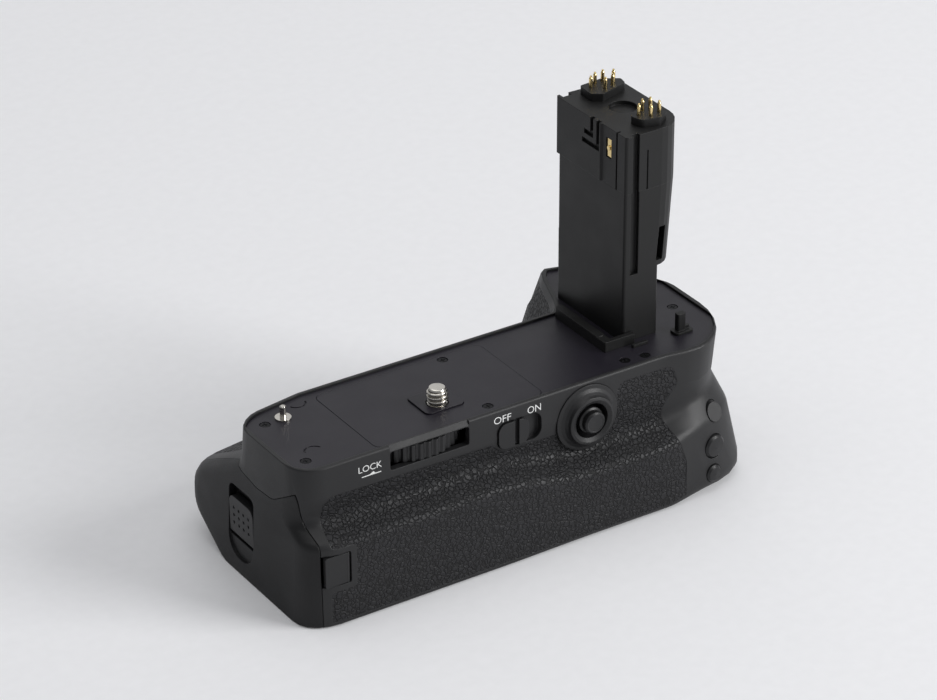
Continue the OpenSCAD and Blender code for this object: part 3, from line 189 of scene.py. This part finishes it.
def turned_metal(name, tone, rough):
    """Turned and plated metal, with the faint rings that the tool leaves."""
    finish = Finish(name, Metallic=1.0)
    ring_pitch, ring_depth = 0.12 * MM, 0.012 * MM
    drawn_round = (0.12, 0.12, 1.0)
    stretch = finish.node("ShaderNodeMapping", {}, {"Vector": finish.place, "Scale": drawn_round})
    rings = finish.noise(1 / ring_pitch, rough=0.6, place=stretch)
    cloud = finish.noise(300, detail=3)
    finish.feed("Base Color", finish.mix(cloud, scaled(tone, 0.9), linear(*tone)))
    finish.feed("Roughness", rough + (rings - 0.5) * 0.14)
    finish.relief(rings, ring_depth, edge=0.08 * MM)
    return finish.material


def circuit_board(name, tone, track):
    """Solder mask over copper tracks, a little lighter where the copper runs."""
    finish = Finish(name)
    lanes = finish.node("ShaderNodeTexBrick", {"offset": 0.37, "squash": 1.0},
        {"Vector": finish.place, "Scale": 420.0, "Mortar Size": 0.06, "Mortar Smooth": 0.2}, "Fac")
    copper_height = 0.03 * MM
    weave = finish.noise(1800)
    colour = finish.mix(lanes * 0.8 + weave * 0.1, linear(*tone), linear(*track))
    finish.feed("Base Color", colour)
    finish.feed("Roughness", 0.34 + weave * 0.16)
    finish.relief(lanes, copper_height)
    return finish.material


def printed_white(name):
    """Pad-printed marking ink, slightly thin in places."""
    finish = Finish(name)
    thin = finish.noise(2600, detail=3, rough=0.6)
    finish.feed("Base Color", finish.mix(thin, linear(214, 215, 214), linear(244, 244, 242)))
    finish.feed("Roughness", 0.45 + thin * 0.2)
    return finish.material


FINISHES = {
    "housing": moulded("housing_black", (34, 34, 35),
        rough=0.48, grain=0.24, depth=0.016, edge=0.35, shine=0.4),
    "deck": moulded("deck_black", (25, 22, 31),
        rough=0.45, grain=0.18, depth=0.01, edge=0.22, shine=0.45),
    "grip_rubber": pebbled_rubber("grip_rubber", (33, 33, 35)),
    "chassis": moulded("chassis_black", (18, 18, 19),
        rough=0.55, grain=0.3, depth=0.02, edge=0.15, shine=0.3),
    "stem": moulded("stem_black", (23, 23, 23),
        rough=0.5, grain=0.2, depth=0.012, edge=0.25, shine=0.35),
    "controls": moulded("control_black", (31, 31, 32),
        rough=0.4, grain=0.2, depth=0.008, edge=0.25, shine=0.4),
    "steel": turned_metal("nickel_plate", (228, 224, 216), rough=0.2),
    "black_screw": turned_metal("blackened_steel", (40, 40, 42), rough=0.36),
    "brass": turned_metal("pinion_brass", (198, 160, 92), rough=0.3),
    "gold": turned_metal("contact_gold", (246, 220, 158), rough=0.18),
    "board": circuit_board("circuit_board", (22, 60, 40), (48, 98, 62)),
    "switch": moulded("switch_can", (120, 122, 124),
        rough=0.35, grain=0.2, depth=0.01, edge=0.08, shine=0.5),
}
# The end cap is the housing's own black plastic; its darker tone is painted shade, for the end that
# faces away from the lamps
CAP_PAINTED_SHADE = moulded("end_cap_painted_shade", (23, 23, 24),
    rough=0.5, grain=0.24, depth=0.016, edge=0.35, shine=0.34)
MARKING = printed_white("marking_white")


def dress_nodes():
    """Each solid takes the finish of its material slot."""
    for entry in frame["record"]["subparts"]:
        slots = NODES[entry["node"]].data.materials
        slots.clear()
        slots.append(FINISHES[entry["material_slot"]])


def in_scene(name, data):
    """A new object in the scene."""
    made = bpy.data.objects.new(name, data)
    bpy.context.scene.collection.objects.link(made)
    return made


def piece(name, mesh, body, finish=None):
    """A finished mesh becomes a piece that rides on a body."""
    made = in_scene(name, mesh)
    if finish:
        mesh.materials.clear()
        mesh.materials.append(finish)
    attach(made, body)
    return made


def evaluated_mesh(holder):
    """The mesh that an object's modifiers or curve give, after which the object is removed."""
    seen = holder.evaluated_get(bpy.context.evaluated_depsgraph_get())
    mesh = bpy.data.meshes.new_from_object(seen)
    holder.modifiers.clear()
    bpy.data.objects.remove(holder)
    return mesh


def mesh_from(build):
    """A mesh made by a function that fills a bmesh."""
    work = bmesh.new()
    build(work)
    bmesh.ops.remove_doubles(work, verts=work.verts, dist=1e-7)
    bmesh.ops.recalc_face_normals(work, faces=work.faces)
    mesh = bpy.data.meshes.new("work")
    work.to_mesh(mesh)
    work.free()
    return mesh


def shade_by_angle(mesh, degrees):
    """Smooth shading, except across edges sharper than the angle."""
    mesh.shade_smooth()
    mesh.set_sharp_from_angle(angle=math.radians(degrees))


def smoothed(node, body, slot, finish=None):
    """A merged copy of a solid with its facets shaded as the curved surface that they follow."""
    mesh = mesh_from(lambda work: work.from_mesh(NODES[node].data))
    if "custom_normal" in mesh.attributes:
        mesh.attributes.remove(mesh.attributes["custom_normal"])
    shade_by_angle(mesh, degrees=38)
    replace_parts(piece(node + "_surface", mesh, body, finish or FINISHES[slot]), node)


def lathe(work, profile):
    """A turned solid on the Z axis from (radius, height) points, first and last on the axis."""
    around = 96
    angles = [2 * math.pi * i / around for i in range(around)]
    rings = [[work.verts.new((radius * math.cos(a), radius * math.sin(a), height)) for a in angles]
        for radius, height in profile[1:-1]]
    for lower, upper in zip(rings, rings[1:]):
        for i in range(around):
            k = (i + 1) % around
            work.faces.new((lower[i], lower[k], upper[k], upper[i]))
    for ring, height in ((rings[0], profile[0][1]), (rings[-1], profile[-1][1])):
        tip = work.verts.new((0, 0, height))
        for i in range(around):
            work.faces.new((ring[i], ring[(i + 1) % around], tip))


class Recipe:
    """A Geometry Nodes tree with named inputs, run once on an empty mesh."""

    def __init__(self, name, **sizes):
        self.name = name
        self.sizes = sizes
        self.tree = bpy.data.node_groups.new(name, "GeometryNodeTree")
        sockets = self.tree.interface
        sockets.new_socket("Geometry", in_out="OUTPUT", socket_type="NodeSocketGeometry")
        for key in sizes:
            sockets.new_socket(key, in_out="INPUT", socket_type="NodeSocketFloat")
        self.entry = self.tree.nodes.new("NodeGroupInput")

    def node(self, kind, settings, sockets, output=0):
        """A node of any kind. A text in its sockets names one of the tree's inputs."""
        made = self.tree.nodes.new(kind)
        for key, value in settings.items():
            setattr(made, key, value)
        for key, value in sockets.items():
            if isinstance(value, str):
                self.tree.links.new(self.entry.outputs[value], made.inputs[key])
            elif isinstance(value, bpy.types.NodeSocket):
                self.tree.links.new(value, made.inputs[key])
            else:
                made.inputs[key].default_value = value
        return made.outputs[output]

    def mesh(self, shape, finish):
        """The tree's result as a plain mesh in one finish."""
        real = self.node("GeometryNodeRealizeInstances", {}, {0: shape})
        coated = self.node("GeometryNodeSetMaterial", {}, {"Geometry": real, "Material": finish})
        done = self.tree.nodes.new("NodeGroupOutput")
        self.tree.links.new(coated, done.inputs[0])
        holder = in_scene(self.name, bpy.data.meshes.new(self.name))
        modifier = holder.modifiers.new(self.name, "NODES")
        modifier.node_group = self.tree
        items = self.tree.interface.items_tree
        keys = {item.name: item.identifier for item in items if item.in_out == "INPUT"}
        for key, value in self.sizes.items():
            modifier[keys[key]] = value
        return evaluated_mesh(holder)


def wound_thread(foot, top, major, pitch, depth):
    """The rolled thread: a spiral with a pointed section that runs out at both ends."""
    half = depth * 0.75
    run_out, sunk_radius = 0.22, 0.78
    steps_per_turn = 64
    recipe = Recipe("screw_thread", Turns=(top - foot) / pitch, Height=(top - foot) * MM,
        Path_Radius=(major - half) * MM, Section=half * MM, Foot=foot * MM, Run_Out=run_out)
    spiral = recipe.node("GeometryNodeCurveSpiral", {}, {
        "Resolution": steps_per_turn, "Rotations": "Turns", "Height": "Height", "Reverse": True,
        "Start Radius": "Path_Radius", "End Radius": "Path_Radius"})
    along = recipe.node("GeometryNodeSplineParameter", {}, {}, "Factor")
    from_ends = recipe.node("ShaderNodeMath", {"operation": "PINGPONG"}, {0: along, 1: 0.5})
    sunk = recipe.node("ShaderNodeMapRange", {"interpolation_type": "SMOOTHSTEP"}, {
        "Value": from_ends, "From Min": 0.0, "From Max": "Run_Out",
        "To Min": sunk_radius, "To Max": 1.0})
    squeeze = recipe.node("ShaderNodeCombineXYZ", {}, {0: sunk, 1: sunk, 2: 1.0})
    where = recipe.node("GeometryNodeInputPosition", {}, {})
    drawn_in = recipe.node("ShaderNodeVectorMath", {"operation": "MULTIPLY"}, {0: where, 1: squeeze})
    raised = recipe.node("ShaderNodeCombineXYZ", {}, {2: "Foot"})
    path = recipe.node("GeometryNodeSetPosition", {},
        {"Geometry": spiral, "Position": drawn_in, "Offset": raised})
    upright = recipe.node("GeometryNodeSetCurveNormal", {"mode": "Z_UP"}, {"Curve": path})
    section = recipe.node("GeometryNodeCurvePrimitiveCircle", {},
        {"Resolution": 4, "Radius": "Section"})
    ridge = recipe.node("GeometryNodeCurveToMesh", {},
        {"Curve": upright, "Profile Curve": section, "Fill Caps": True})
    return recipe.mesh(ridge, FINISHES["steel"])


def camera_screw():
    """The captive quarter-inch screw: a turned core and a rolled thread wound on it."""
    low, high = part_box("attachment_screw")
    foot, top = low.z / MM, high.z / MM
    major, pitch, depth = 3.155, 1.27, 0.62
    thread_length = 4.9
    start = top - thread_length
    root = major - depth
    foot_face, foot_chamfer = 1.95, 0.4
    shank, collar = 2.3, 2.87
    shank_end, collar_foot, collar_top = start - 0.7, start - 0.6, start - 0.15
    tip_round = [(0, 0.55), (0.25, 0.14), (0.6, 0)]
    lead_in, lead_out = 0.2, 0.5
    profile = [
        (0, foot), (foot_face, foot), (shank, foot + foot_chamfer), (shank, shank_end),
        (collar, collar_foot), (collar, collar_top), (root, start),
    ]
    profile += [(root - inward, top - below) for inward, below in tip_round]
    profile.append((0, top))
    core = mesh_from(lambda work: lathe(work, [(r * MM, h * MM) for r, h in profile]))
    shade_by_angle(core, degrees=30)
    rod = piece("screw_core", core, "screw", FINISHES["steel"])
    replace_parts(rod, "attachment_screw")
    thread = wound_thread(start + lead_in, top - lead_out, major, pitch, depth)
    piece("screw_thread", thread, "screw")


def printed(name, flat, place):
    """Lays a flat mesh on the rear wall as ink: place gives x and z in millimetres."""
    outside = -60
    ink_lift = mm(0, 0.025, 0)
    for vertex in flat.vertices:
        x, z = place(vertex.co)
        start = mm(x, outside, z)
        _, spot, _, _ = NODES["main_housing"].ray_cast(start, Vector((0, 1, 0)))
        vertex.co = spot - ink_lift
    piece(name, flat, "grip", MARKING)


def printed_word(name, word, left, foot, height, width):
    """A word printed on the rear wall, its left foot, cap height and width in millimetres."""
    cap_share = 0.7
    curve = bpy.data.curves.new(name, "FONT")
    curve.body = word
    curve.size = height / cap_share
    curve.resolution_u = 4
    flat = evaluated_mesh(in_scene(name, curve))
    across = [v.co.x for v in flat.vertices]
    first = min(across)
    stretch = width / (max(across) - first)
    printed(name, flat, lambda v: (left + (v.x - first) * stretch, foot + v.y))


def printed_shapes(name, *shapes):
    """Flat shapes printed on the rear wall, each a loop of x and z in millimetres."""
    def build(work):
        for shape in shapes:
            work.faces.new([work.verts.new((x, z, 0)) for x, z in shape])

    printed(name, mesh_from(build), lambda v: (v.x, v.y))


def bar(left, right, low, high):
    """A rectangle as a loop."""
    return [(left, low), (right, low), (right, high), (left, high)]


def lock_arrow():
    """The sign under the locking word: a line with one barb standing on it."""
    low, high = 40.14, 40.46
    line = bar(-33.3, -27.1, low, high)
    barb = [(-30.8, high), (-28.9, high), (-29.6, 41.15)]
    printed_shapes("mark_lock_arrow", line, barb)


def paper_floor():
    """A wide sheet of pale paper, a little lighter to the camera than to the part."""
    reach, level = 6.0, -0.0002

    def sheet(work):
        corners = bar(-reach, reach, -reach, reach)
        work.faces.new([work.verts.new((x, y, level)) for x, y in corners])

    floor = in_scene("studio_floor", mesh_from(sheet))
    paper = Finish("studio_paper", Specular_IOR_Level=0.05, Emission_Strength=1.0)
    fibre = paper.noise(260, detail=3)
    paper.feed("Base Color", paper.mix(fibre, linear(230, 230, 232), linear(236, 236, 238)))
    paper.feed("Roughness", 0.8 + fibre * 0.1)
    seen = paper.node("ShaderNodeLightPath", {}, {}, "Is Camera Ray")
    paper.feed("Emission Color", paper.mix(seen, (0, 0, 0, 1), (0.08, 0.08, 0.08, 1)))
    floor.data.materials.append(paper.material)


def soft_lamps():
    """An even sky, a large lamp at the right, one overhead and a weak one behind."""
    world = bpy.data.worlds.new("studio")
    bpy.context.scene.world = world
    world.use_nodes = True
    sky = world.node_tree.nodes["Background"]
    sky.inputs["Color"].default_value = linear(236, 238, 242)
    sky.inputs["Strength"].default_value = 0.3
    target = mm(20, 5, 45)
    for name, spot, size, watts in (
        ("window", mm(1150, -1150, 860), 0.9, 24.0),
        ("overhead", mm(-60, 160, 1500), 1.6, 8.6),
        ("backdrop", mm(560, 900, 620), 1.0, 1.2),
    ):
        lamp = bpy.data.lights.new(name, "AREA")
        lamp.shape = "SQUARE"
        lamp.size = size
        lamp.energy = watts
        holder = in_scene(name, lamp)
        holder.location = spot
        holder.rotation_mode = "QUATERNION"
        holder.rotation_quaternion = (target - spot).to_track_quat("-Z", "Y")


def photo_camera():
    """The camera at the photograph's viewing angle."""
    lens = bpy.data.cameras.new("photo_camera")
    lens.sensor_fit = "HORIZONTAL"
    lens.sensor_width = 36.0
    lens.lens = 142.5
    lens.clip_start = 0.05
    lens.clip_end = 20.0
    right = Vector((0.8391, -0.5440, -0.0037)).normalized()
    back = Vector((-0.4736, -0.7338, 0.4871)).normalized()
    up = back.cross(right).normalized()
    right = up.cross(back)
    placing = Matrix((right, up, back)).transposed().to_4x4()
    placing.translation = mm(-478.9, -758.3, 563.6)
    eye = in_scene("photo_camera", lens)
    eye.matrix_world = placing
    bpy.context.scene.camera = eye


dress_nodes()
camera_screw()
printed_word("mark_off", "OFF", left=9.9, foot=42.95, height=2.2, width=5.7)
printed_word("mark_on", "ON", left=21.1, foot=42.95, height=2.2, width=4.5)
printed_word("mark_lock", "LOCK", left=-34.3, foot=41.75, height=1.95, width=7.5)
lock_arrow()
smoothed("main_housing", "grip", "housing")
smoothed("rear_grip_skin", "grip", "grip_rubber")
smoothed("front_grip_skin", "grip", "grip_rubber")
smoothed("magazine_end_cap", "magazine", "housing", CAP_PAINTED_SHADE)
paper_floor()
soft_lamps()
photo_camera()

bpy.context.scene.view_settings.view_transform = "Standard"
